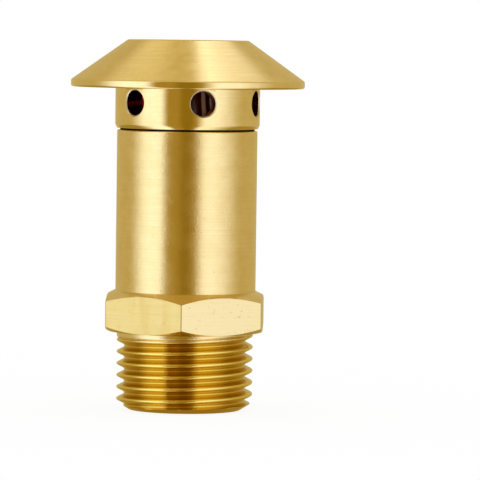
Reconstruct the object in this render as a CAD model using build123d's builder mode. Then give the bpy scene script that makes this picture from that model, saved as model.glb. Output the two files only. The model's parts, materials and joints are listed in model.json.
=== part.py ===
# Air admittance valve in brass, with a half inch male thread and a rain hat over its six air vents.
# All sizes are in millimetres. The valve stands on the end of its threaded spigot: the origin is
# the centre of that end, +Z runs up the axis to the hat, and a corner of the spanner hexagon
# points to -Y, the front. Suction in the pipe pulls the poppet down off its seat, and air goes in
# by the vents, down the barrel, through the guide spider and the seat. A spring shuts it again.

from build123d import *
import os
from math import cos, radians, sin, tan

os.makedirs("parts", exist_ok=True)

# Threaded spigot, a parallel pipe thread drawn as a plain cylinder of its full diameter
thread_diameter = 20.955
thread_root_diameter = 18.631
spigot_length = 12.05
nose_diameter = 17.3
nose_height = 1.15
land_height = 0.95
run_out_width = 0.3
run_out_flank = 0.6
inlet_bore = 15.0
inlet_chamfer = 0.3

# Spanner hexagon, bevelled on the lathe above and below
hex_across_flats = 23.8
hex_height = 6.25
hex_top_circle = 21.8
hex_top_bevel_angle = 27.0
hex_bottom_circle = 23.7
hex_bottom_bevel_angle = 26.0

# Barrel, with the seat web across its foot
barrel_diameter = 21.55
barrel_height = 24.65
barrel_edge_chamfer = 0.15
barrel_bore = 17.0
seat_height = 12.6
seat_bore = 9.0
seat_lip_width = 0.5
seat_lip_height = 1.0
seat_lip_flare = 0.25
web_thickness = 4.0
funnel_diameter = 13.2
funnel_depth = 2.1

# Vent cap, screwed into the top of the barrel down to a thin gasket
cap_thread_diameter = 19.0
cap_thread_length = 5.0
cap_thread_run_out = 0.7
cap_bore = 16.0
ring_diameter = 22.2
ring_height = 6.25
ring_bevel_width = 0.3
ring_bevel_height = 0.55
ring_land = 1.0
gasket_thickness = 0.28
gasket_set_back = 0.45
vent_count = 6
vent_diameter = 3.9
vent_drop = 2.3
vent_turn = 15.0
vent_rim_chamfer = 0.2
boss_diameter = 16.8
boss_height = 5.5
boss_chamfer = 0.5
cap_roof_thickness = 1.4
nut_pocket_diameter = 9.0

# Rain hat, screwed on the boss of the cap
hat_diameter = 35.9
hat_top_diameter = 18.5
hat_height = 7.3
hat_rim_height = 1.1
hat_rim_bevel = 0.3
hat_edge_break = 0.12
hat_socket_clearance = 0.15

# Poppet, its soft seal and what clamps it to the stem
seal_diameter = 11.2
seal_thickness = 1.5
poppet_rim_width = 0.6
poppet_rim_height = 0.8
poppet_floor = 1.6
poppet_hub_diameter = 5.8
poppet_hub_height = 1.2
poppet_bevel = 0.9
clamp_washer_diameter = 7.4
clamp_washer_thickness = 0.8
stem_diameter = 3.0
stem_collar_diameter = 5.2
stem_collar_height = 1.2
stem_end_chamfer = 0.4
stem_end_length = 0.6
nut_across_flats = 5.5
poppet_nut_height = 2.4
thin_nut_height = 1.8
nut_bevel_angle = 30.0
poppet_lift = 2.4

# Guide spider with its bush and retaining ring
spider_rim_width = 1.85
spider_rim_height = 2.2
spider_leg_count = 3
spider_leg_width = 1.8
spider_leg_fillet = 0.7
hub_flange_diameter = 8.8
hub_flange_height = 2.8
hub_nose_diameter = 6.2
hub_nose_height = 1.6
bush_diameter = 4.6
bush_flange_diameter = 5.8
bush_flange_thickness = 0.5
circlip_thickness = 1.0
circlip_groove_depth = 0.4
circlip_back_width = 1.7
circlip_tip_width = 1.1
circlip_lug_diameter = 2.4
circlip_lug_hole = 1.2
circlip_gap = 5.0

# Spring, the cap on its top end and the sleeve inside it that limits the lift
spring_wire = 0.45
spring_wire_sides = 6
spring_mean_diameter = 7.4
spring_turns = 7
spring_washer_thickness = 0.4
spring_cap_roof = 1.0
spring_cap_length = 8.0
spring_cap_top_diameter = 9.8
spring_cap_flare_angle = 6.5
spring_cap_edge = 0.3
lift_sleeve_diameter = 4.8

# Clearances
running_clearance = 0.05
thread_clearance = 0.05
assembly_clearance = 0.05
spring_clearance = 0.2
end_clearance = 0.4

# Heights worked out from the sizes, from the foot of the spigot up
hex_bottom = spigot_length
hex_top = hex_bottom + hex_height
barrel_top = hex_top + barrel_height
ring_bottom = barrel_top + gasket_thickness
ring_top = ring_bottom + ring_height
boss_top = ring_top + boss_height
hat_top = ring_top + hat_height
vent_height = ring_top - vent_drop
web_bottom = seat_height + seat_lip_height
spider_bottom = web_bottom + web_thickness
spider_top = spider_bottom + spider_rim_height
hub_flange_top = spider_bottom + hub_flange_height
hub_nose_top = hub_flange_top + hub_nose_height
bush_top = hub_nose_top + bush_flange_thickness
cap_bore_top = ring_top + ring_land
pocket_top = boss_top - cap_roof_thickness
stem_top = pocket_top - end_clearance
lock_nut_bottom = stem_top - stem_end_length - thin_nut_height
adjusting_nut_bottom = lock_nut_bottom - thin_nut_height
spring_cap_top = adjusting_nut_bottom
spring_top = spring_cap_top - spring_cap_roof
spring_bottom = hub_flange_top + spring_washer_thickness
seal_bottom = seat_height - seal_thickness
poppet_hub_bottom = seal_bottom - poppet_floor - poppet_hub_height
poppet_nut_bottom = poppet_hub_bottom - poppet_nut_height
stem_bottom = poppet_nut_bottom - stem_end_length
collar_bottom = seat_height + clamp_washer_thickness

# Radii that several pieces share
thread_radius = thread_diameter / 2
stem_radius = stem_diameter / 2
stem_hole_radius = stem_radius + assembly_clearance
cap_thread_radius = cap_thread_diameter / 2
barrel_radius = barrel_diameter / 2
barrel_bore_radius = barrel_bore / 2
groove_radius = barrel_bore_radius + circlip_groove_depth
bush_radius = bush_diameter / 2
spring_outer_radius = (spring_mean_diameter + spring_wire) / 2


def write(part, name):
    part.label = name
    export_step(part, f"parts/{name}.step")


# Valve body: spigot, hexagon and barrel turned from one bar
with BuildPart() as valve_body:
    hex_reach = (hex_across_flats + hex_height) / 2
    with BuildSketch(Plane.XY.offset(hex_bottom)):
        RegularPolygon(hex_across_flats / 2, 6, major_radius=False, rotation=30)
    extrude(amount=hex_height)
    with BuildSketch(Plane.XZ):
        with BuildLine():
            Polyline(
                (0, hex_bottom),
                (hex_bottom_circle / 2, hex_bottom),
                (
                    hex_reach,
                    hex_bottom + (hex_reach - hex_bottom_circle / 2) * tan(radians(hex_bottom_bevel_angle)),
                ),
                (hex_reach, hex_top),
                (0, hex_top),
                close=True,
            )
        make_face()
    revolve(axis=Axis.Z, mode=Mode.INTERSECT)
    with BuildSketch(Plane.XZ):
        with BuildLine():
            Polyline(
                (0, hex_bottom),
                (hex_reach, hex_bottom),
                (
                    hex_reach,
                    hex_top - (hex_reach - hex_top_circle / 2) * tan(radians(hex_top_bevel_angle)),
                ),
                (hex_top_circle / 2, hex_top),
                (0, hex_top),
                close=True,
            )
        make_face()
    revolve(axis=Axis.Z, mode=Mode.INTERSECT)

    # Spigot and barrel outside: nose, thread, run-out groove, land, then the barrel
    root_radius = thread_root_diameter / 2
    land_bottom = hex_bottom - land_height
    run_out_top = land_bottom - (thread_radius - root_radius)
    run_out_bottom = run_out_top - run_out_width
    with BuildSketch(Plane.XZ):
        with BuildLine():
            Polyline(
                (0, 0),
                (nose_diameter / 2, 0),
                (thread_radius, nose_height),
                (thread_radius, run_out_bottom - run_out_flank),
                (root_radius, run_out_bottom),
                (root_radius, run_out_top),
                (thread_radius, land_bottom),
                (thread_radius, hex_bottom + hex_height / 2),
                (barrel_radius, hex_bottom + hex_height / 2),
                (barrel_radius, barrel_top - barrel_edge_chamfer),
                (barrel_radius - barrel_edge_chamfer, barrel_top),
                (0, barrel_top),
                close=True,
            )
        make_face()
    revolve(axis=Axis.Z)

    # Air way inside: inlet, seat lip, funnel, barrel bore, circlip groove, thread for the cap
    lip_radius = seat_bore / 2 + seat_lip_width
    groove_top = spider_top + circlip_thickness + assembly_clearance
    cap_thread_foot = barrel_top - cap_thread_length - cap_thread_run_out
    with BuildSketch(Plane.XZ):
        with BuildLine():
            Polyline(
                (0, 0),
                (inlet_bore / 2 + inlet_chamfer, 0),
                (inlet_bore / 2, inlet_chamfer),
                (inlet_bore / 2, web_bottom),
                (lip_radius + seat_lip_flare, web_bottom),
                (lip_radius, seat_height),
                (seat_bore / 2, seat_height),
                (seat_bore / 2, spider_bottom - funnel_depth),
                (funnel_diameter / 2, spider_bottom),
                (barrel_bore_radius, spider_bottom),
                (barrel_bore_radius, spider_top),
                (groove_radius, spider_top),
                (groove_radius, groove_top),
                (barrel_bore_radius, groove_top),
                (barrel_bore_radius, cap_thread_foot),
                (cap_thread_radius, cap_thread_foot + (cap_thread_radius - barrel_bore_radius) / 2),
                (cap_thread_radius, barrel_top),
                (0, barrel_top),
                close=True,
            )
        make_face()
    revolve(axis=Axis.Z, mode=Mode.SUBTRACT)
write(valve_body.part, "valve_body")

# Vent cap: threaded skirt, ring with the air vents, closed boss that carries the hat
with BuildPart() as vent_cap:
    skirt_radius = cap_thread_radius - thread_clearance
    skirt_bottom = ring_bottom - cap_thread_length
    ring_radius = ring_diameter / 2
    with BuildSketch(Plane.XZ):
        with BuildLine():
            Polyline(
                (0, skirt_bottom),
                (skirt_radius - ring_bevel_width, skirt_bottom),
                (skirt_radius, skirt_bottom + ring_bevel_width),
                (skirt_radius, ring_bottom),
                (ring_radius - ring_bevel_width, ring_bottom),
                (ring_radius, ring_bottom + ring_bevel_height),
                (ring_radius, ring_top),
                (boss_diameter / 2, ring_top),
                (boss_diameter / 2, boss_top - boss_chamfer),
                (boss_diameter / 2 - boss_chamfer, boss_top),
                (0, boss_top),
                close=True,
            )
        make_face()
    revolve(axis=Axis.Z)
    with BuildSketch(Plane.XZ):
        with BuildLine():
            Polyline(
                (0, skirt_bottom),
                (cap_bore / 2, skirt_bottom),
                (cap_bore / 2, cap_bore_top),
                (nut_pocket_diameter / 2, cap_bore_top),
                (nut_pocket_diameter / 2, pocket_top),
                (0, pocket_top),
                close=True,
            )
        make_face()
    revolve(axis=Axis.Z, mode=Mode.SUBTRACT)
    vent_angles = [radians(vent_turn - 90 + 360 * n / vent_count) for n in range(vent_count)]
    vent_planes = [Plane(origin=(0, 0, vent_height), z_dir=(cos(a), sin(a), 0)) for a in vent_angles]
    with BuildSketch(*vent_planes):
        Circle(vent_diameter / 2)
    extrude(amount=ring_diameter, mode=Mode.SUBTRACT)
    ring_wall = vent_cap.faces().filter_by(GeomType.CYLINDER).sort_by(lambda face: face.radius)[-1]
    vent_rims = [edge for rim in ring_wall.inner_wires() for edge in rim.edges()]
    chamfer(vent_rims, vent_rim_chamfer)
write(vent_cap.part, "vent_cap")

# Gasket squeezed between the barrel and the cap, seen as the dark line round the joint
with BuildPart() as cap_gasket:
    with BuildSketch(Plane.XY.offset(barrel_top)):
        Circle(barrel_radius - gasket_set_back)
        Circle(cap_thread_radius, mode=Mode.SUBTRACT)
    extrude(amount=gasket_thickness)
write(cap_gasket.part, "cap_gasket")

# Rain hat: a solid cone with a straight rim and a threaded socket for the boss
with BuildPart() as rain_hat:
    hat_radius = hat_diameter / 2
    socket_radius = boss_diameter / 2 + thread_clearance
    socket_top = boss_top + hat_socket_clearance
    with BuildSketch(Plane.XZ):
        with BuildLine():
            Polyline(
                (0, ring_top),
                (hat_radius, ring_top),
                (hat_radius, ring_top + hat_rim_height),
                (hat_top_diameter / 2, hat_top),
                (0, hat_top),
                close=True,
            )
        make_face()
    revolve(axis=Axis.Z)
    rims = rain_hat.edges().filter_by(GeomType.CIRCLE).sort_by(Axis.Z)
    chamfer(rims[0], hat_rim_bevel)
    chamfer(rain_hat.edges().filter_by(GeomType.CIRCLE).group_by(Axis.Z)[-1], hat_edge_break)
    with BuildSketch(Plane.XY.offset(ring_top)):
        Circle(socket_radius)
    extrude(amount=socket_top - ring_top, mode=Mode.SUBTRACT)
write(rain_hat.part, "rain_hat")

# Guide spider: rim on the shoulder over the funnel, three legs, hub that carries the spring
with BuildPart() as guide_spider:
    rim_radius = barrel_bore_radius - assembly_clearance
    with BuildSketch(Plane.XY.offset(spider_bottom)):
        Circle(rim_radius)
        Circle(rim_radius - spider_rim_width, mode=Mode.SUBTRACT)
        Circle(hub_flange_diameter / 2)
        with PolarLocations(0, spider_leg_count, start_angle=90):
            Rectangle(
                rim_radius - spider_rim_width / 2, spider_leg_width, align=(Align.MIN, Align.CENTER)
            )
        window_corners = [
            v
            for v in vertices()
            if Vector(v.X, v.Y).length < rim_radius - spider_rim_width / 2
        ]
        fillet(window_corners, spider_leg_fillet)
    extrude(amount=spider_rim_height)
    with BuildSketch(Plane.XZ):
        with BuildLine():
            Polyline(
                (0, spider_bottom),
                (hub_flange_diameter / 2, spider_bottom),
                (hub_flange_diameter / 2, hub_flange_top),
                (hub_nose_diameter / 2, hub_flange_top),
                (hub_nose_diameter / 2, hub_nose_top),
                (0, hub_nose_top),
                close=True,
            )
        make_face()
    revolve(axis=Axis.Z)
    with BuildSketch(Plane.XY.offset(spider_bottom)):
        Circle(bush_radius + assembly_clearance)
    extrude(amount=hub_nose_top - spider_bottom, mode=Mode.SUBTRACT)
write(guide_spider.part, "guide_spider")

# Flanged plain bearing in the hub, in which the stem slides
with BuildPart() as guide_bush:
    with BuildSketch(Plane.XY.offset(spider_bottom)):
        Circle(bush_radius)
    extrude(amount=hub_nose_top - spider_bottom)
    with BuildSketch(Plane.XY.offset(hub_nose_top)):
        Circle(bush_flange_diameter / 2)
    extrude(amount=bush_flange_thickness)
    with BuildSketch(Plane.XY.offset(spider_bottom)):
        Circle(stem_radius + running_clearance)
    extrude(amount=bush_top - spider_bottom, mode=Mode.SUBTRACT)
write(guide_bush.part, "guide_bush")

# Retaining ring sprung into its groove over the rim of the spider, open at +Y between two lugs
with BuildPart() as spider_circlip:
    circlip_radius = groove_radius - assembly_clearance
    eye_shift = (circlip_back_width - circlip_tip_width) / 2
    eye_radius = circlip_radius - (circlip_back_width + circlip_tip_width) / 2
    lug_radius = circlip_lug_diameter / 2
    lug_x = (circlip_gap + circlip_lug_diameter) / 2
    lug_ring = circlip_radius - circlip_groove_depth - assembly_clearance - lug_radius
    lug_y = (lug_ring**2 - lug_x**2) ** 0.5
    with BuildSketch(Plane.XY.offset(spider_top)):
        Circle(circlip_radius)
        with Locations((0, eye_shift)):
            Circle(eye_radius, mode=Mode.SUBTRACT)
        with Locations((-lug_x, lug_y), (lug_x, lug_y)):
            Circle(lug_radius)
        with Locations((0, circlip_radius)):
            Rectangle(circlip_gap, 2 * (circlip_radius - lug_y + lug_radius), mode=Mode.SUBTRACT)
        with Locations((-lug_x, lug_y), (lug_x, lug_y)):
            Circle(circlip_lug_hole / 2, mode=Mode.SUBTRACT)
    extrude(amount=circlip_thickness)
write(spider_circlip.part, "spider_circlip")

# Washer under the foot of the spring, on the flange of the hub
with BuildPart() as spring_washer:
    with BuildSketch(Plane.XY.offset(hub_flange_top)):
        Circle(hub_flange_diameter / 2)
        Circle(hub_nose_diameter / 2 + assembly_clearance, mode=Mode.SUBTRACT)
    extrude(amount=spring_washer_thickness)
write(spring_washer.part, "spring_washer")

# Closing spring, with both ends ground flat and its round wire drawn with six sides
with BuildPart() as spring:
    spring_length = spring_top - spring_bottom
    with BuildLine() as coil:
        Helix(
            spring_length / spring_turns,
            spring_length,
            spring_mean_diameter / 2,
            center=(0, 0, spring_bottom),
        )
    with BuildSketch(coil.line ^ 0):
        RegularPolygon(spring_wire / 2, spring_wire_sides)
    sweep(path=coil.line, is_frenet=True)
    with BuildSketch(Plane.XY.offset(spring_bottom)):
        Circle(spring_mean_diameter)
    extrude(amount=spring_length, mode=Mode.INTERSECT)
write(spring.part, "spring")

# Spring cap: the flared thimble over the top of the spring, seen through the vents
with BuildPart() as spring_cap:
    cap_inner_radius = spring_outer_radius + spring_clearance
    cap_foot = spring_cap_top - spring_cap_length
    cap_foot_radius = spring_cap_top_diameter / 2 + spring_cap_length * tan(radians(spring_cap_flare_angle))
    with BuildSketch(Plane.XZ):
        with BuildLine():
            Polyline(
                (stem_hole_radius, spring_top),
                (cap_inner_radius, spring_top),
                (cap_inner_radius, cap_foot),
                (cap_foot_radius, cap_foot),
                (spring_cap_top_diameter / 2, spring_cap_top),
                (stem_hole_radius, spring_cap_top),
                close=True,
            )
        make_face()
    revolve(axis=Axis.Z)
    chamfer(spring_cap.edges().group_by(Axis.Z)[-1].sort_by(SortBy.LENGTH)[-1], spring_cap_edge)
write(spring_cap.part, "spring_cap")

# Sleeve between the spring cap and the bush: it stops the poppet at its full lift
with BuildPart() as lift_sleeve:
    with BuildSketch(Plane.XY.offset(bush_top + poppet_lift)):
        Circle(lift_sleeve_diameter / 2)
        Circle(stem_hole_radius, mode=Mode.SUBTRACT)
    extrude(amount=spring_top - bush_top - poppet_lift)
write(lift_sleeve.part, "lift_sleeve")

# Stem, with the collar that clamps the seal stack from above
with BuildPart() as stem:
    with BuildSketch(Plane.XZ):
        with BuildLine():
            Polyline(
                (0, stem_bottom),
                (stem_radius - stem_end_chamfer, stem_bottom),
                (stem_radius, stem_bottom + stem_end_chamfer),
                (stem_radius, collar_bottom),
                (stem_collar_diameter / 2, collar_bottom),
                (stem_collar_diameter / 2, collar_bottom + stem_collar_height),
                (stem_radius, collar_bottom + stem_collar_height),
                (stem_radius, stem_top - stem_end_chamfer),
                (stem_radius - stem_end_chamfer, stem_top),
                (0, stem_top),
                close=True,
            )
        make_face()
    revolve(axis=Axis.Z)
write(stem.part, "stem")

# Washer that clamps the seal inside the seat bore
with BuildPart() as clamp_washer:
    with BuildSketch(Plane.XY.offset(seat_height)):
        Circle(clamp_washer_diameter / 2)
        Circle(stem_hole_radius, mode=Mode.SUBTRACT)
    extrude(amount=clamp_washer_thickness)
write(clamp_washer.part, "clamp_washer")

# Soft seal, which lies face to face on the seat lip when the valve is shut
with BuildPart() as seal_disc:
    with BuildSketch(Plane.XY.offset(seal_bottom)):
        Circle(seal_diameter / 2)
        Circle(stem_hole_radius, mode=Mode.SUBTRACT)
    extrude(amount=seal_thickness)
write(seal_disc.part, "seal_disc")

# Poppet: a dished disc with a hub
with BuildPart() as poppet:
    dish_radius = seal_diameter / 2 + assembly_clearance
    poppet_radius = dish_radius + poppet_rim_width
    poppet_floor_bottom = seal_bottom - poppet_floor
    with BuildSketch(Plane.XZ):
        with BuildLine():
            Polyline(
                (stem_hole_radius, poppet_hub_bottom),
                (poppet_hub_diameter / 2, poppet_hub_bottom),
                (poppet_hub_diameter / 2, poppet_floor_bottom),
                (poppet_radius - poppet_bevel, poppet_floor_bottom),
                (poppet_radius, poppet_floor_bottom + poppet_bevel),
                (poppet_radius, seal_bottom + poppet_rim_height),
                (dish_radius, seal_bottom + poppet_rim_height),
                (dish_radius, seal_bottom),
                (stem_hole_radius, seal_bottom),
                close=True,
            )
        make_face()
    revolve(axis=Axis.Z)
write(poppet.part, "poppet")


def make_nut(name, bottom, height):
    corner_radius = nut_across_flats / 2 / cos(radians(30))
    bevel_drop = (corner_radius - nut_across_flats / 2) * tan(radians(nut_bevel_angle))
    with BuildPart() as nut:
        with BuildSketch(Plane.XY.offset(bottom)):
            RegularPolygon(nut_across_flats / 2, 6, major_radius=False)
        extrude(amount=height)
        with BuildSketch(Plane.XZ):
            with BuildLine():
                Polyline(
                    (0, bottom),
                    (nut_across_flats / 2, bottom),
                    (corner_radius, bottom + bevel_drop),
                    (corner_radius, bottom + height - bevel_drop),
                    (nut_across_flats / 2, bottom + height),
                    (0, bottom + height),
                    close=True,
                )
            make_face()
        revolve(axis=Axis.Z, mode=Mode.INTERSECT)
        with BuildSketch(Plane.XY.offset(bottom)):
            Circle(stem_hole_radius)
        extrude(amount=height, mode=Mode.SUBTRACT)
    write(nut.part, name)


make_nut("poppet_nut", poppet_nut_bottom, poppet_nut_height)
make_nut("adjusting_nut", adjusting_nut_bottom, thin_nut_height)
make_nut("lock_nut", lock_nut_bottom, thin_nut_height)
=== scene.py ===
import json
import math
import bpy
import bmesh
from mathutils import Matrix, Vector


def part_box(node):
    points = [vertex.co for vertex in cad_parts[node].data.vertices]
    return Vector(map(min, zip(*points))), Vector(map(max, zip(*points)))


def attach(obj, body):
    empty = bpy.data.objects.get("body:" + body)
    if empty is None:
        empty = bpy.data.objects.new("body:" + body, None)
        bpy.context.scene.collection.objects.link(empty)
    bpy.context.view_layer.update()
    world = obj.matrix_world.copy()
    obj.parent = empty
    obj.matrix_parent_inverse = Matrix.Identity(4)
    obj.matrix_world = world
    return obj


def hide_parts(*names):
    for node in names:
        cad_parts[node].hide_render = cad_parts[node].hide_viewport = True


print("Loading the packed valve")
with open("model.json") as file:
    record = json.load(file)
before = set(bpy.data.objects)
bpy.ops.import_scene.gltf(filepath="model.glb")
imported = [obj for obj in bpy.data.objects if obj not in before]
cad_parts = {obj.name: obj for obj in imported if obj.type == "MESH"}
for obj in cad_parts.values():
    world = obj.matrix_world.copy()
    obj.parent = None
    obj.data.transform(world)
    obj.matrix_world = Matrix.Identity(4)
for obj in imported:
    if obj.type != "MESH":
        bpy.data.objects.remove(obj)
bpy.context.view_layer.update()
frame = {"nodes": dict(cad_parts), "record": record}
mm = 0.001
samePlace = 0.001 * mm  # corners nearer than this are the same corner
mergeWithin = 0.002 * mm
roundingSteps = 4
nodes = frame["nodes"]
mounts = {mount["name"]: mount for mount in frame["record"]["mounts"]}
crestRadius = mounts["inlet_thread"]["dims"]["r_mm"]
hexBottom = mounts["seating_face"]["pos_m"][2] / mm


def reach(node):  # outer radius, bottom and top of a CAD node, in mm
    low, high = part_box(node)
    return high.x / mm, low.z / mm, high.z / mm


# Shader maths as plain expressions

class Wire:
    def __init__(self, shader, socket):
        self.shader = shader
        self.socket = socket

    def math(self, operation, *values):
        return self.shader.node("ShaderNodeMath", {"operation": operation}, values)

    def __add__(self, other):
        return self.math("ADD", self, other)

    def __radd__(self, other):
        return self.math("ADD", other, self)

    def __sub__(self, other):
        return self.math("SUBTRACT", self, other)

    def __rsub__(self, other):
        return self.math("SUBTRACT", other, self)

    def __mul__(self, other):
        return self.math("MULTIPLY", self, other)

    def __rmul__(self, other):
        return self.math("MULTIPLY", other, self)

    def __truediv__(self, other):
        return self.math("DIVIDE", self, other)

    def __pow__(self, other):
        return self.math("POWER", self, other)


class Shader:
    def __init__(self, tree):
        self.tree = tree
        tree.nodes.clear()

    def node(self, kind, settings=None, sockets=(), output=0):
        made = self.tree.nodes.new(kind)
        for name, value in (settings or {}).items():
            setattr(made, name, value)
        entries = sockets.items() if isinstance(sockets, dict) else enumerate(sockets)
        for key, value in entries:
            if isinstance(value, Wire):
                self.tree.links.new(value.socket, made.inputs[key])
            else:
                made.inputs[key].default_value = value
        return Wire(self, made.outputs[output]) if len(made.outputs) else made

    def step(self, value, start, end):  # smoothly from 0 at start to 1 at end
        return self.node("ShaderNodeMapRange", {"interpolation_type": "SMOOTHSTEP"},
                         {"Value": value, "From Min": start, "From Max": end})

    def band(self, value, start, end, startSoft, endSoft):  # 1 between start and end
        return (self.step(value, start - startSoft, start + startSoft)
                * (1 - self.step(value, end - endSoft, end + endSoft)))

    def mixColours(self, factor, low, high):
        return self.node("ShaderNodeMix", {"data_type": "RGBA"}, {0: factor, 6: low, 7: high}, output=2)

    def mixShaders(self, factor, low, high):
        return self.node("ShaderNodeMixShader", None, {0: factor, 1: low, 2: high})

    def join(self, x, y, z):
        return self.node("ShaderNodeCombineXYZ", None, (x, y, z))

    def split(self, vector):
        return [self.node("ShaderNodeSeparateXYZ", None, [vector], output=axis) for axis in "XYZ"]

    def noise(self, vector, scale, detail, roughness):
        return self.node("ShaderNodeTexNoise", {"noise_dimensions": "3D"},
                         {"Vector": vector, "Scale": scale, "Detail": detail, "Roughness": roughness})

    def place(self):
        return self.node("ShaderNodeTexCoord", output="Object")

    def rays(self, kindOfRay):
        return self.node("ShaderNodeLightPath", output=kindOfRay)

    def degrees(self, up, along):
        return up.math("ARCTAN2", up, along) * math.degrees(1)

    def bump(self, strength, depth, height, below=None):  # below is a bump that this one lies on
        sockets = {"Strength": strength, "Distance": depth, "Height": height}
        if below:
            sockets["Normal"] = below
        return self.node("ShaderNodeBump", None, sockets)

    def surface(self, **sockets):
        sockets = {name.replace("_", " "): value for name, value in sockets.items()}
        shell = self.node("ShaderNodeBsdfPrincipled", None, sockets)
        self.node("ShaderNodeOutputMaterial", None, {"Surface": shell})


def newMaterial(name):
    material = bpy.data.materials.new(name)
    material.use_nodes = True
    return material, Shader(material.node_tree)


# Mesh work with the usual edit mode tools

def deselectAll():
    if bpy.context.object and bpy.context.object.mode != "OBJECT":
        bpy.ops.object.mode_set(mode="OBJECT")
    bpy.ops.object.select_all(action="DESELECT")


def makeActive(piece):
    deselectAll()
    piece.select_set(True)
    bpy.context.view_layer.objects.active = piece


def selectCorners(piece, wanted):
    bpy.ops.mesh.select_all(action="DESELECT")
    sheet = bmesh.from_edit_mesh(piece.data)
    for corner in sheet.verts:
        corner.select = wanted(corner.co)
    sheet.select_flush(True)
    bmesh.update_edit_mesh(piece.data)


def drawOutline(name, outline, closed=True):  # corners are (radius, height) or (radius, height, rounding)
    deselectAll()
    bpy.ops.mesh.primitive_plane_add(size=mm)
    piece = bpy.context.object
    piece.name = piece.data.name = name
    bpy.ops.object.mode_set(mode="EDIT")
    bpy.ops.mesh.select_all(action="SELECT")
    bpy.ops.mesh.merge(type="CENTER")
    places = [Vector((corner[0], 0, corner[1])) * mm for corner in outline]
    bpy.ops.transform.translate(value=places[0])
    for last, place in zip(places, places[1:]):
        bpy.ops.mesh.extrude_region_move(TRANSFORM_OT_translate={"value": place - last})
    if closed:
        ends = places[0], places[-1]
        selectCorners(piece, lambda co: min((co - end).length for end in ends) < samePlace)
        bpy.ops.mesh.edge_face_add()
    for corner, place in zip(outline, places):
        if len(corner) > 2:
            selectCorners(piece, lambda co: (co - place).length < samePlace)
            bpy.ops.mesh.bevel(offset=corner[2] * mm, segments=roundingSteps, affect="VERTICES")
    return piece


def tidyMesh(piece):
    if piece.mode != "EDIT":
        makeActive(piece)
        bpy.ops.object.mode_set(mode="EDIT")
    bpy.ops.mesh.select_all(action="SELECT")
    bpy.ops.mesh.remove_doubles(threshold=mergeWithin)
    bpy.ops.mesh.normals_make_consistent(inside=False)
    bpy.ops.object.mode_set(mode="OBJECT")


def turnOnLathe(piece, steps):
    bpy.ops.mesh.select_all(action="SELECT")
    bpy.ops.mesh.spin(steps=steps, angle=2 * math.pi, center=(0, 0, 0), axis=(0, 0, 1))
    tidyMesh(piece)


def applyModifier(piece, kind, **settings):
    makeActive(piece)
    modifier = piece.modifiers.new(kind, kind)
    for name, value in settings.items():
        setattr(modifier, name, value)
    bpy.ops.object.modifier_apply(modifier=modifier.name)


def smoothOver(piece, angle):
    makeActive(piece)
    bpy.ops.object.shade_smooth_by_angle(angle=math.radians(angle))
    applyModifier(piece, "WEIGHTED_NORMAL", keep_sharp=True, weight=100)


def cutWith(piece, cutter, operation="DIFFERENCE"):
    applyModifier(piece, "BOOLEAN", object=cutter, operation=operation, solver="EXACT")
    bpy.data.objects.remove(cutter)


def joinInto(piece, other):
    makeActive(piece)
    other.select_set(True)
    bpy.ops.object.join()


def dress(piece, *materials):
    for material in materials:
        piece.data.materials.append(material)


def finishPiece(piece, node):  # stands in for the CAD node, which it hides, and goes on the valve's body
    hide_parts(node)
    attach(piece, "valve")


# Brass: fine turning marks round the axis, soft mottling, small dark specks and shallow dents.
# A zone has its own colour and roughness between two heights and two radii, in mm; some zones paint in shade
# and reflection.

def brassMaterial(name, look, zones=()):
    material, shader = newMaterial(name)
    place = shader.place()
    x, y, z = shader.split(place)
    radius = (x * x + y * y) ** 0.5
    fine, drift = look["marksPerMetre"], look["markDrift"]
    marks = shader.noise(shader.join(x * drift + radius * fine, y * drift, z * fine), *look["markNoise"])
    mottle = shader.noise(place, *look["mottleNoise"])
    specks = shader.step(shader.noise(place, *look["speckNoise"]), *look["speckRange"])
    dents = shader.step(shader.noise(place, *look["dentNoise"]), *look["dentRange"])
    colour = shader.mixColours(shader.step(mottle, *look["mottleRange"]), look["colour"], look["paleColour"])
    markMask = shader.step(marks, *look["markRange"]) * look["markStrength"]
    colour = shader.mixColours(markMask, colour, look["markColour"])
    colour = shader.mixColours(specks * look["speckStrength"], colour, look["speckColour"])
    rough = (look["roughness"] + (marks - 0.5) * look["markRoughness"]
             + (mottle - 0.5) * look["mottleRoughness"] + specks * look["speckRoughness"])
    for zone in zones:
        inZone = (shader.band(z / mm, zone["from"], zone["to"], look["zoneEndSoft"], look["zoneEndSoft"])
                  * shader.band(radius / mm, zone["inner"], zone["outer"], zone["soft"], zone["soft"]))
        colour = shader.mixColours(inZone * zone["tint"], colour, zone["colour"])
        rough = rough + inZone * zone["rougher"]
    bump = shader.bump(look["bump"], look["bumpDepth"], marks + mottle * look["mottleBump"])
    bump = shader.bump(look["dentStrength"], look["bumpDepth"], dents, bump)
    shader.surface(Base_Color=colour, Metallic=1.0, Roughness=rough, Normal=bump)
    return material


turnedBrass = {  # a noise is its scale, detail and roughness
    "colour": (0.82, 0.655, 0.32, 1),
    "roughness": 0.22,
    "marksPerMetre": 5200,
    "markDrift": 90,
    "markNoise": (1.0, 3.0, 0.6),
    "markRange": (0.3, 0.75),
    "markStrength": 0.30,
    "markColour": (0.74, 0.57, 0.24, 1),
    "markRoughness": 0.10,
    "mottleNoise": (420, 4.0, 0.6),
    "mottleRange": (0.32, 0.68),
    "paleColour": (0.87, 0.715, 0.385, 1),
    "mottleRoughness": 0.17,
    "mottleBump": 0.6,
    "speckNoise": (1500, 2.0, 0.5),
    "speckRange": (0.66, 0.78),
    "speckStrength": 0.15,
    "speckColour": (0.46, 0.32, 0.08, 1),
    "speckRoughness": 0.1,
    "bump": 0.10,
    "bumpDepth": 0.00002,
    "dentNoise": (1400, 3.0, 0.6),
    "dentRange": (0.53, 0.67),
    "dentStrength": 0.2,
    "zoneEndSoft": 0.05,
}
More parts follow.
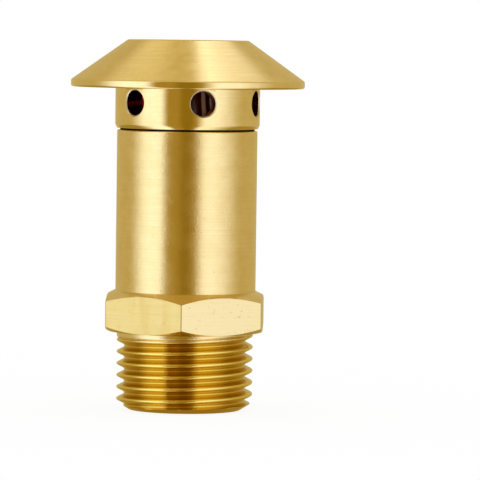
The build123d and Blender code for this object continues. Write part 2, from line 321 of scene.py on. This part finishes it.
satinBrass = {
    "roughness": 0.22, "bump": 0.16, "markDrift": 60, "markStrength": 0.25, "speckStrength": 0.05,
    "dentStrength": 0.03,
}
polishedBrass = {"roughness": 0.10, "bump": 0.04, "dentStrength": 0.1, "mottleRoughness": 0.06}
# Painted highlight: the vent rims get a pale colour so that they shine like lit bevels; their higher roughness
# is the finish
paintedRimHighlight = {
    "roughness": 0.5, "colour": (0.95, 0.86, 0.64, 1), "paleColour": (0.97, 0.90, 0.72, 1),
    "markStrength": 0.0,
}
# Painted reflection: the spigot gets a deeper amber colour that stands in for light bounced between the thread
# flanks; its lower roughness is the thread's finish
paintedThreadReflectionZone = {
    "from": -1, "to": hexBottom - 1.2, "inner": 0, "outer": crestRadius + 1, "soft": 0.35,
    "tint": 0.9, "colour": (0.81, 0.62, 0.15, 1), "rougher": -0.13,
}
# Painted shade: darker brass in the thread roots and lower flanks, where the grooves are shaded
paintedGrooveShadeZone = {
    "from": -1, "to": hexBottom - 1.2, "inner": 8.8, "outer": crestRadius - 0.4, "soft": 0.25,
    "tint": 0.85, "colour": (0.61, 0.40, 0.045, 1), "rougher": 0.0,
}
# Painted shade and reflection: dark red inside the cap's bore and vents, standing in for the dim light bounced
# round the brass inside
paintedInsideReflectionZone = {
    "from": 0, "to": 60, "inner": -1, "outer": 10.5, "soft": 0.1,
    "tint": 1.0, "colour": (0.50, 0.05, 0.05, 1), "rougher": 0.1,
}
rimZone = {
    "from": reach("rain_hat")[1] - 1, "to": reach("rain_hat")[1] + 1, "inner": 17.5, "outer": 20,
    "soft": 0.1, "tint": 0.2, "colour": (0.82, 0.655, 0.32, 1), "rougher": -0.15,
}
print("Mixing the brass finishes")
bodyBrass = brassMaterial("bodyBrass", turnedBrass, [paintedThreadReflectionZone, paintedGrooveShadeZone])
ringBrass = brassMaterial("ringBrass", {**turnedBrass, **polishedBrass}, [paintedInsideReflectionZone])
hatBrass = brassMaterial("hatBrass", {**turnedBrass, **satinBrass}, [rimZone])
edgeBrass = brassMaterial("edgeBrass", {**turnedBrass, **paintedRimHighlight})


# Drawn bar on the hexagon: fine lines along the flats, duller streaks, and a painted dark reflection along
# each arris

def hexagonMaterial(name, look):
    material, shader = newMaterial(name)
    place = shader.place()
    x, y, z = shader.split(place)
    fromArris = y.math("ARCTAN2", y, x) + math.pi / 6  # an arris every 60 degrees
    flat = fromArris / (math.pi / 3)
    flat = flat.math("FLOOR", flat)
    tone = (flat + 2) * (2 * math.pi / 3)
    tone = tone.math("COSINE", tone) / 1.5 + 1 / 3  # 1 on every third flat and 0 on the others
    drift = look["lineDrift"]
    lines = shader.noise(shader.join(x * drift, y * drift, z * look["linesPerMetre"]), *look["lineNoise"])
    around = fromArris - math.pi / 6
    streaks = shader.noise(shader.join(around * look["streaksRound"], z * look["streakDrift"], 0.0),
                           *look["streakNoise"])
    specks = shader.step(shader.noise(place, *look["speckNoise"]), *look["speckRange"])
    toned = tone * (1 - look["leastStreak"]) + look["leastStreak"]
    streakMask = shader.step(streaks, *look["streakRange"]) * toned
    dull = (tone * look["toneStrength"] + streakMask * look["streakStrength"]
            + (lines - 0.5) * look["lineStrength"])
    colour = shader.mixColours(dull, look["colour"], look["dullColour"])
    colour = shader.mixColours(specks * look["speckStrength"], colour, look["speckColour"])
    # Painted reflection: a dark line along each arris, standing in for the dim front mirrored in the rounded
    # edge
    away = fromArris.math("PINGPONG", fromArris, math.pi / 6) * look["cornerRadius"]
    arris = 1 - shader.step(away, *look["arrisRange"])
    colour = shader.mixColours(arris * look["arrisStrength"], colour, look["arrisColour"])
    rough = (look["roughness"] + streakMask * look["streakRoughness"]
             + (lines - 0.5) * look["lineRoughness"] - arris * look["arrisPolish"])
    height = lines + streaks * look["streakBump"] + specks * look["speckBump"]
    shader.surface(Base_Color=colour, Metallic=1.0, Roughness=rough,
                   Normal=shader.bump(look["bump"], look["bumpDepth"], height))
    return material


barBrass = {
    "colour": (0.82, 0.695, 0.39, 1),
    "dullColour": (0.66, 0.495, 0.18, 1),
    "toneStrength": 0.88,
    "roughness": 0.23,
    "linesPerMetre": 3200,
    "lineDrift": 120,
    "lineNoise": (1.0, 3.0, 0.5),
    "lineStrength": 0.4,
    "lineRoughness": 0.1,
    "streaksRound": 7,
    "streakDrift": 90,
    "streakNoise": (1.0, 2.0, 0.5),
    "streakRange": (0.40, 0.75),
    "leastStreak": 0.1,
    "streakStrength": 0.30,
    "streakRoughness": 0.05,
    "streakBump": 0.6,
    "speckNoise": (1300, 3.0, 0.6),
    "speckRange": (0.62, 0.72),
    "speckStrength": 0.35,
    "speckColour": (0.45, 0.31, 0.10, 1),
    "speckBump": 0.5,
    "cornerRadius": 13.7,
    "arrisRange": (0.06, 0.12),
    "arrisStrength": 0.8,
    "arrisColour": (0.34, 0.21, 0.05, 1),
    "arrisPolish": 0.12,
    "bump": 0.2,
    "bumpDepth": 0.00002,
}
hexagonBrass = hexagonMaterial("hexagonBrass", barBrass)


# Plainer finishes for the pieces inside

def steelMaterial(name, look):
    material, shader = newMaterial(name)
    x, y, z = shader.split(shader.place())
    radius = (x * x + y * y) ** 0.5
    fine = look["marksPerMetre"]
    marks = shader.noise(shader.join(radius * fine, x * look["markDrift"], z * fine), *look["markNoise"])
    colour = shader.mixColours(marks, look["colour"], look["markColour"])
    rough = look["roughness"] + marks * look["markRoughness"]
    shader.surface(Base_Color=colour, Metallic=1.0, Roughness=rough,
                   Normal=shader.bump(look["bump"], look["bumpDepth"], marks))
    return material


def mouldedMaterial(name, look):
    material, shader = newMaterial(name)
    place = shader.place()
    x, y, z = shader.split(place)
    turn = shader.degrees(x, 0 - y)
    grain = shader.noise(place, look["grainScale"], look["grainDetail"], look["grainHarshness"])
    colour = shader.mixColours(grain, look["colour"], look["grainColour"])
    # the lines are painted reflections, fixed to the part
    for start, end, paintedReflection in look.get("lines", []):  # pale lines down the side, at degrees from the front
        onPaintedReflection = shader.band(turn, start, end, look["lineSoft"], look["lineSoft"])
        colour = shader.mixColours(onPaintedReflection, colour, paintedReflection)
    shader.surface(Base_Color=colour, Roughness=look["roughness"] + grain * look["grainRoughness"],
                   Normal=shader.bump(look["bump"], look["bumpDepth"], grain), IOR=look["ior"])
    return material


innerBrass = {**turnedBrass, "roughness": 0.3, "markDrift": 60}
steel = {
    "colour": (0.56, 0.56, 0.55, 1), "markColour": (0.66, 0.66, 0.65, 1), "marksPerMetre": 4200,
    "markDrift": 200, "markNoise": (1.0, 3.0, 0.5), "roughness": 0.22, "markRoughness": 0.12,
    "bump": 0.15, "bumpDepth": 0.00002,
}
springWire = {
    **steel, "colour": (0.45, 0.44, 0.43, 1), "markColour": (0.62, 0.61, 0.59, 1), "marksPerMetre": 9000,
    "roughness": 0.2,
}
rubber = {
    "colour": (0.006, 0.004, 0.003, 1), "grainColour": (0.014, 0.012, 0.010, 1), "grainScale": 2500,
    "grainDetail": 4.0, "grainHarshness": 0.65, "roughness": 0.85, "grainRoughness": 0.06,
    "bump": 0.3, "bumpDepth": 0.00003, "ior": 1.2,
}
bushPlastic = {
    **rubber, "colour": (0.80, 0.79, 0.74, 1), "grainColour": (0.86, 0.85, 0.81, 1), "grainScale": 1800,
    "roughness": 0.45, "bump": 0.1, "ior": 1.45,
}
thimblePlastic = {
    **rubber, "colour": (0.085, 0.006, 0.008, 1), "grainColour": (0.11, 0.012, 0.011, 1),
    "grainScale": 700, "roughness": 0.16, "bump": 0.02, "ior": 1.35,
    # Painted reflections on the thimble: a tan line for the lit brass wall it mirrors and a white one for
    # light through a vent
    "lines": [(27, 34.5, (0.98, 0.70, 0.40, 1)), (44, 47, (0.97, 0.95, 0.92, 1))], "lineSoft": 1.2,
}
innerFinishes = {
    "innerBrass": brassMaterial("innerBrass", innerBrass),
    "brightSteel": steelMaterial("brightSteel", steel),
    "springSteel": steelMaterial("springSteel", springWire),
    "blackRubber": mouldedMaterial("blackRubber", rubber),
    "paleBush": mouldedMaterial("paleBush", bushPlastic),
    "maroonThimble": mouldedMaterial("maroonThimble", thimblePlastic),
}
finishOfNode = {
    "cap_gasket": "blackRubber", "seal_disc": "blackRubber", "guide_bush": "paleBush",
    "guide_spider": "innerBrass", "poppet": "innerBrass", "lift_sleeve": "innerBrass",
    "spring_cap": "maroonThimble", "spring": "springSteel", "stem": "brightSteel",
    "spider_circlip": "brightSteel", "spring_washer": "brightSteel", "clamp_washer": "brightSteel",
    "poppet_nut": "brightSteel", "adjusting_nut": "brightSteel", "lock_nut": "brightSteel",
}
print("Finishing the inner pieces")
for node, finish in finishOfNode.items():
    for slot in nodes[node].material_slots:
        slot.material = innerFinishes[finish]


# Valve body: threaded spigot, hexagon and barrel. Sizes are in mm, angles in degrees.

valveBody = {
    "stepsRound": 180,
    "smoothAngle": 35,
    "threadPitch": 1.814,
    "threadRoot": 9.3155,
    "crestRound": 0.2491,
    "flankAngle": 27.5,
    "rowsPerTurn": 20,
    "turnsBelow": 2,
    "turnsToSpare": 3,
    "crestOnRight": 9.70,
    "noseRadius": 8.65,
    "noseHeight": 1.15,
    "runOutBelowHexagon": 1.73,
    "runOutTilt": 0.30,
    "hexTopCircle": 10.9,
    "hexTopAngle": 27.0,
    "hexBottomCircle": 11.85,
    "hexBottomAngle": 26.0,
    "hexHeight": 6.25,
    "hexEdgeRound": 0.22,
    "hexEdgeSteps": 3,
    "hexEdgeAngle": 18,
    "hexHoleInset": 0.3,
    "coneReach": 14.5,
    "inletBore": 7.5,
    "inletChamfer": 0.3,
    "inletCornerRound": 0.3,
    "barrelRadius": 10.775,
    "barrelInHexagon": 3.0,
    "barrelBore": 8.5,
    "seatBore": 4.5,
    "seatLip": 0.5,
    "seatLipHeight": 1.0,
    "seatLipSpread": 0.25,
    "seatLipFootRound": 0.1,
    "seatLipRound": 0.05,
    "funnelRadius": 6.6,
    "funnelDepth": 2.1,
    "capThread": 9.5,
    "capThreadFoot": 5.7,
    "capThreadCone": 0.5,
    "edgeBreak": 0.15,
    "edgeTopRound": 0.04,
    "edgeSideRound": 0.05,
}


def threadForm(away, body):  # radius at a distance along the axis from the nearest crest
    slope = 1 / math.tan(math.radians(body["flankAngle"]))
    middle = (crestRadius + body["threadRoot"]) / 2
    bend = body["crestRound"]
    bendReach = bend * math.cos(math.radians(body["flankAngle"]))
    fromRoot = body["threadPitch"] / 2 - away
    if away < bendReach:
        return crestRadius - bend + (bend ** 2 - away ** 2) ** 0.5
    if fromRoot < bendReach:
        return body["threadRoot"] + bend - (bend ** 2 - fromRoot ** 2) ** 0.5
    return middle + (body["threadPitch"] / 4 - away) * slope


def spigotRadius(angle, height, body):  # the thread, its run-out under the hexagon and its tapered nose
    turns = (height - body["crestOnRight"]) / body["threadPitch"] - angle / (2 * math.pi)
    thread = threadForm(abs(turns - round(turns)) * body["threadPitch"], body)
    foot = hexBottom - body["runOutBelowHexagon"] + body["runOutTilt"] * math.cos(angle)
    shoulder = min(body["threadRoot"] + height - foot, crestRadius)
    nose = body["noseRadius"] + (crestRadius - body["noseRadius"]) * height / body["noseHeight"]
    return min(max(thread, shoulder), nose)


def makeThread(body):  # a plain screw sheet, each corner of which then goes to its radius
    pitch, rowCount = body["threadPitch"], body["rowsPerTurn"]
    rows = [(crestRadius, (row / rowCount - body["turnsBelow"]) * pitch) for row in range(rowCount + 1)]
    spigot = drawOutline("spigotThread", rows, closed=False)
    bpy.ops.object.mode_set(mode="OBJECT")
    applyModifier(spigot, "SCREW", axis="Z", screw_offset=pitch * mm,
                  iterations=math.ceil(hexBottom / pitch) + body["turnsToSpare"],
                  steps=body["stepsRound"], render_steps=body["stepsRound"])
    for corner in spigot.data.vertices:
        angle = math.atan2(corner.co.y, corner.co.x)
        height = min(max(corner.co.z / mm, 0), hexBottom)
        radius = spigotRadius(angle, height, body)
        corner.co = Vector((radius * math.cos(angle), radius * math.sin(angle), height)) * mm
    tidyMesh(spigot)
    return spigot


def makeHexagon(body, halfAcross):
    bottom, top = hexBottom, hexBottom + body["hexHeight"]
    hole = crestRadius - body["hexHoleInset"]
    deselectAll()
    bpy.ops.mesh.primitive_cylinder_add(
        vertices=6, radius=halfAcross / math.cos(math.pi / 6) * mm, depth=body["hexHeight"] * mm,
        location=(0, 0, (bottom + top) / 2 * mm))
    hexagon = bpy.context.object
    bpy.ops.object.transform_apply()
    dress(hexagon, bodyBrass, hexagonBrass)
    for flat in hexagon.data.polygons:
        flat.material_index = 1
    bottomRise = (body["coneReach"] - body["hexBottomCircle"]) * math.tan(math.radians(body["hexBottomAngle"]))
    topDrop = (body["coneReach"] - body["hexTopCircle"]) * math.tan(math.radians(body["hexTopAngle"]))
    cones = drawOutline("hexagonBevels", [
        (hole, bottom), (body["hexBottomCircle"], bottom), (body["coneReach"], bottom + bottomRise),
        (body["coneReach"], top - topDrop), (body["hexTopCircle"], top), (hole, top)])
    turnOnLathe(cones, body["stepsRound"])
    dress(cones, bodyBrass)
    cutWith(hexagon, cones, "INTERSECT")
    applyModifier(hexagon, "BEVEL", width=body["hexEdgeRound"] * mm, segments=body["hexEdgeSteps"],
                  limit_method="ANGLE", angle_limit=math.radians(body["hexEdgeAngle"]))
    return hexagon


def makeValveBody(body):
    halfAcross, bottom, top = reach("valve_body")
    barrelFoot = hexBottom + body["hexHeight"] - body["barrelInHexagon"]
    seat = reach("seal_disc")[2]
    webBottom = seat + body["seatLipHeight"]
    webTop = reach("guide_spider")[1]
    grooveRadius, grooveBottom, grooveTop = reach("spider_circlip")
    threadFoot = top - body["capThreadFoot"]
    bore, inlet, seatBore = body["barrelBore"], body["inletBore"], body["seatBore"]
    lip = seatBore + body["seatLip"]
    outline = [
        (body["noseRadius"], bottom), (inlet + body["inletChamfer"], bottom),
        (inlet, bottom + body["inletChamfer"]), (inlet, webBottom, body["inletCornerRound"]),
        (lip + body["seatLipSpread"], webBottom, body["seatLipFootRound"]),
        (lip, seat, body["seatLipRound"]), (seatBore, seat, body["seatLipRound"]),
        (seatBore, webTop - body["funnelDepth"]), (body["funnelRadius"], webTop),
        (bore, webTop), (bore, grooveBottom), (grooveRadius, grooveBottom), (grooveRadius, grooveTop),
        (bore, grooveTop), (bore, threadFoot), (body["capThread"], threadFoot + body["capThreadCone"]),
        (body["capThread"], top), (body["barrelRadius"] - body["edgeBreak"], top, body["edgeTopRound"]),
        (body["barrelRadius"], top - body["edgeBreak"], body["edgeSideRound"]),
        (body["barrelRadius"], barrelFoot), (crestRadius, barrelFoot), (crestRadius, hexBottom)]
    piece = drawOutline("valveBody", outline, closed=False)
    turnOnLathe(piece, body["stepsRound"])
    joinInto(piece, makeThread(body))
    tidyMesh(piece)
    dress(piece, bodyBrass)
    joinInto(piece, makeHexagon(body, halfAcross))
    smoothOver(piece, body["smoothAngle"])
    return piece


print("Modelling the valve body")
finishPiece(makeValveBody(valveBody), "valve_body")


# Vent cap: threaded skirt, ring with the vents, closed boss under the hat

ventCap = {
    "stepsRound": 300,
    "smoothAngle": 25,
    "skirtRadius": 9.45,
    "bore": 8.0,
    "bevelWidth": 0.3,
    "bevelHeight": 0.55,
    "bevelFootRound": 0.05,
    "bevelTopRound": 0.15,
    "ringTopRound": 0.08,
    "ringLand": 1.0,
    "bossRadius": 8.4,
    "bossChamfer": 0.5,
    "pocketRadius": 4.5,
    "roof": 1.4,
    "ventCount": 6,
    "ventTurn": 15.0,
    "ventRadius": 1.95,
    "ventDrop": 2.3,
    "ventRim": 0.18,
    "ventClear": 0.1,
    "drillDepth": 5.0,
    "drillOver": 1.0,
    "drillSteps": 72,
    "flareOver": 0.1,
    "flareMargin": 0.01,
}


def makeVentDrill(cap, ring):  # pointing up, with a flare that leaves an even bevel on the round ring
    radius, rim, depth, over = cap["ventRadius"], cap["ventRim"], cap["drillDepth"], cap["flareOver"]
    mouth = radius + rim + over
    drill = drawOutline("ventDrill", [
        (0, -depth), (radius, -depth), (radius, -rim), (mouth, over), (mouth, cap["drillOver"]),
        (0, cap["drillOver"])])
    turnOnLathe(drill, cap["drillSteps"])
    dress(drill, ringBrass, edgeBrass)

    def onFlare(place):
        return -rim - cap["flareMargin"] < place.z / mm < over + cap["flareMargin"]
    bpy.ops.object.mode_set(mode="EDIT")
    selectCorners(drill, onFlare)
    # the flare takes the pale brass that carries the painted rim highlight
    drill.active_material_index = 1
    bpy.ops.object.material_slot_assign()
    bpy.ops.object.mode_set(mode="OBJECT")
    for corner in drill.data.vertices:
        if onFlare(corner.co):
            corner.co.z -= ring * mm - ((ring * mm) ** 2 - corner.co.x ** 2) ** 0.5
    return drill


def makeVentDrills(cap, ring, height):  # all of them as one cutter, in their places round the ring
    drills = [makeVentDrill(cap, ring)]
    while len(drills) < cap["ventCount"]:
        makeActive(drills[0])
        bpy.ops.object.duplicate()
        drills.append(bpy.context.object)
    for number, drill in enumerate(drills):
        turn = math.radians(cap["ventTurn"] - 90 + 360 * number / cap["ventCount"])
        outwards = Vector((math.cos(turn), math.sin(turn), 0))
        place = Matrix.Translation(outwards * ring * mm + Vector((0, 0, height * mm)))
        drill.matrix_world = place @ outwards.to_track_quat("Z", "Y").to_matrix().to_4x4()
    for drill in drills[1:]:
        joinInto(drills[0], drill)
    return drills[0]


def makeVentCap(cap):
    ring, skirtBottom, bossTop = reach("vent_cap")
    ringBottom, ringTop = reach("cap_gasket")[2], reach("rain_hat")[1]
    ventHeight = ringTop - cap["ventDrop"]
    ventFoot = ventHeight - cap["ventRadius"] - cap["ventRim"] - cap["ventClear"]
    bore, bevel, skirt, boss = cap["bore"], cap["bevelWidth"], cap["skirtRadius"], cap["bossRadius"]
    ceiling = bossTop - cap["roof"]
    piece = drawOutline("ventCap", [
        (bore, skirtBottom), (skirt - bevel, skirtBottom), (skirt, skirtBottom + bevel),
        (skirt, ringBottom), (ring - bevel, ringBottom, cap["bevelFootRound"]),
        (ring, ringBottom + cap["bevelHeight"], cap["bevelTopRound"]), (ring, ventFoot),
        (ring, ringTop, cap["ringTopRound"]), (boss, ringTop), (boss, bossTop - cap["bossChamfer"]),
        (boss - cap["bossChamfer"], bossTop), (0, bossTop), (0, ceiling), (cap["pocketRadius"], ceiling),
        (cap["pocketRadius"], ringTop + cap["ringLand"]), (bore, ringTop + cap["ringLand"])])
    turnOnLathe(piece, cap["stepsRound"])
    dress(piece, ringBrass, edgeBrass)
    cutWith(piece, makeVentDrills(cap, ring, ventHeight))
    smoothOver(piece, cap["smoothAngle"])
    return piece


print("Modelling the vent cap")
finishPiece(makeVentCap(ventCap), "vent_cap")


# Rain hat: a cone with a straight rim, and a socket for the boss of the cap

rainHat = {
    "stepsRound": 256,
    "smoothAngle": 35,
    "topRadius": 9.25,
    "rimHeight": 1.1,
    "lowerEdge": 0.35,
    "upperEdge": 0.18,
    "socketClearance": 0.05,
    "socketGap": 0.15,
}


def makeRainHat(hat):
    rim, bottom, top = reach("rain_hat")
    socket = ventCap["bossRadius"] + hat["socketClearance"]
    socketTop = reach("vent_cap")[2] + hat["socketGap"]
    piece = drawOutline("rainHat", [
        (socket, bottom), (rim, bottom, hat["lowerEdge"]), (rim, bottom + hat["rimHeight"], hat["upperEdge"]),
        (hat["topRadius"], top, hat["upperEdge"]), (0, top), (0, socketTop), (socket, socketTop)])
    turnOnLathe(piece, hat["stepsRound"])
    dress(piece, hatBrass)
    smoothOver(piece, hat["smoothAngle"])
    return piece


print("Modelling the rain hat")
finishPiece(makeRainHat(rainHat), "rain_hat")


# Camera, at the photo's distance and eye level, a little rolled. Lengths are in metres.

cameraPlace = {
    "lens": 311.0,
    "sensor": 36,
    "nearest": 0.01,
    "distance": 0.637,
    "azimuth": 2.5,
    "eyeHeight": 0.05905,
    "aimHeight": 0.02615,
    "aimAcross": 0.0083,
    "roll": 0.75,
}


def placeCamera(place):
    turn = math.radians(place["azimuth"])
    across = Vector((math.cos(turn), math.sin(turn), 0))
    eye = Vector((math.sin(turn), -math.cos(turn), 0)) * place["distance"] + Vector((0, 0, place["eyeHeight"]))
    aim = across * place["aimAcross"] + Vector((0, 0, place["aimHeight"]))
    data = bpy.data.cameras.new("camera")
    data.lens = place["lens"]
    data.sensor_width = place["sensor"]
    data.clip_start = place["nearest"]
    camera = bpy.data.objects.new("camera", data)
    bpy.context.scene.collection.objects.link(camera)
    look = (aim - eye).to_track_quat("-Z", "Y").to_matrix().to_4x4()
    camera.matrix_world = Matrix.Translation(eye) @ look @ Matrix.Rotation(math.radians(place["roll"]), 4, "Z")
    bpy.context.scene.camera = camera


print("Placing the camera")
placeCamera(cameraPlace)


# Light tent: a dome that only shiny surfaces see, with tall soft boxes to the left and right of a dim
# front, and strips overhead. Angles are in degrees, from the front, to the right and up. A band is its
# start and end, and how soft each of them is.

lightTent = {
    "radius": 1.2,
    "stepsRound": 64,
    "stepsUp": 32,
    "surround": (0.62, 0.50, 0.225, 1),
    "below": (0.42, 0.30, 0.07, 1), "belowFrom": -9, "belowTo": -20,
    "front": (0.45, 0.30, 0.05, 1), "frontBand": (-42, 22, 10, 10),
    "core": (0.32, 0.20, 0.015, 1), "coreBand": (-9, 12, 6, 6),
    "leftBox": (1.36, 1.42, 1.52, 1), "leftBoxBand": (-82, -35, 20, 8),
    "rightBox": (1.30, 1.30, 1.34, 1), "rightBoxBand": (24, 73, 9, 32),
    "ceiling": (0.68, 0.54, 0.22, 1), "ceilingFrom": 48, "ceilingSoft": 8,
    "strip": (1.85, 1.85, 1.9, 1), "stripBand": (150, 167, 6, 4),
    "sliver": (1.85, 1.75, 1.45, 1), "sliverBand": (-147, -144, 2, 2),
}


def raiseTent(tent):
    material, shader = newMaterial("lightTent")
    x, y, z = shader.split(shader.place())
    turn = shader.degrees(x, 0 - y)
    rise = shader.degrees(z, (x * x + y * y) ** 0.5)

    def hang(behind, *names):  # each one over what hangs behind it
        for name in names:
            behind = shader.mixColours(shader.band(turn, *tent[name + "Band"]), behind, tent[name])
        return behind
    walls = shader.mixColours(shader.step(rise, tent["belowTo"], tent["belowFrom"]), tent["below"],
                              tent["surround"])
    walls = hang(walls, "front", "core", "leftBox", "rightBox")
    roof = hang(tent["ceiling"], "strip", "sliver")
    overhead = shader.step(rise, tent["ceilingFrom"] - tent["ceilingSoft"],
                           tent["ceilingFrom"] + tent["ceilingSoft"])
    glow = shader.node("ShaderNodeEmission", None, {"Color": shader.mixColours(overhead, walls, roof)})
    shader.node("ShaderNodeOutputMaterial", None, {"Surface": glow})
    deselectAll()
    bpy.ops.mesh.primitive_uv_sphere_add(
        segments=tent["stepsRound"], ring_count=tent["stepsUp"], radius=tent["radius"])
    dome = bpy.context.object
    dome.name = dome.data.name = "lightTent"
    for kindOfRay in ("camera", "shadow", "diffuse", "transmission", "volume_scatter"):
        setattr(dome, "visible_" + kindOfRay, False)
    dress(dome, material)


print("Raising the light tent")
raiseTent(lightTent)


# White surroundings and a pale floor that keeps the valve's shadow

surroundings = {
    "diffuseLevel": 0.9,
    "floorColour": (0.85, 0.85, 0.85, 1),
    "floorShade": 0.12,
    "floorGlow": 1.03,
    "floorRadius": 40.0,
    "floorSteps": 64,
    "floorDrop": 0.0002,
}


def lightWorld(levels):
    world = bpy.data.worlds.new("studio")
    bpy.context.scene.world = world
    world.use_nodes = True
    shader = Shader(world.node_tree)
    seen = shader.rays("Is Camera Ray")
    for kindOfRay in ("Is Glossy Ray", "Is Transmission Ray"):
        seen = seen.math("MAXIMUM", seen, shader.rays(kindOfRay))
    level = levels["diffuseLevel"] + seen * (1 - levels["diffuseLevel"])
    glow = shader.node("ShaderNodeBackground", None, {"Color": (1, 1, 1, 1), "Strength": level})
    shader.node("ShaderNodeOutputWorld", None, {"Surface": glow})


def layFloor(levels):
    material, shader = newMaterial("floor")
    matte = shader.node("ShaderNodeBsdfDiffuse", None, {"Color": levels["floorColour"]})
    glow = shader.node("ShaderNodeEmission", None, {"Color": (1, 1, 1, 1), "Strength": levels["floorGlow"]})
    pale = shader.mixShaders(shader.rays("Is Camera Ray") * (1 - levels["floorShade"]), matte, glow)
    underside = shader.node("ShaderNodeNewGeometry", output="Backfacing")
    clear = shader.node("ShaderNodeBsdfTransparent")  # so that the inlet can be looked into
    shader.node("ShaderNodeOutputMaterial", None, {"Surface": shader.mixShaders(underside, pale, clear)})
    deselectAll()
    bpy.ops.mesh.primitive_circle_add(
        vertices=levels["floorSteps"], radius=levels["floorRadius"], fill_type="NGON",
        location=(0, 0, -levels["floorDrop"]))
    floor = bpy.context.object
    floor.name = floor.data.name = "floor"
    floor.visible_glossy = False
    dress(floor, material)


print("Laying the floor")
lightWorld(surroundings)
layFloor(surroundings)
bpy.context.scene.view_settings.view_transform = "Standard"

print("Done")
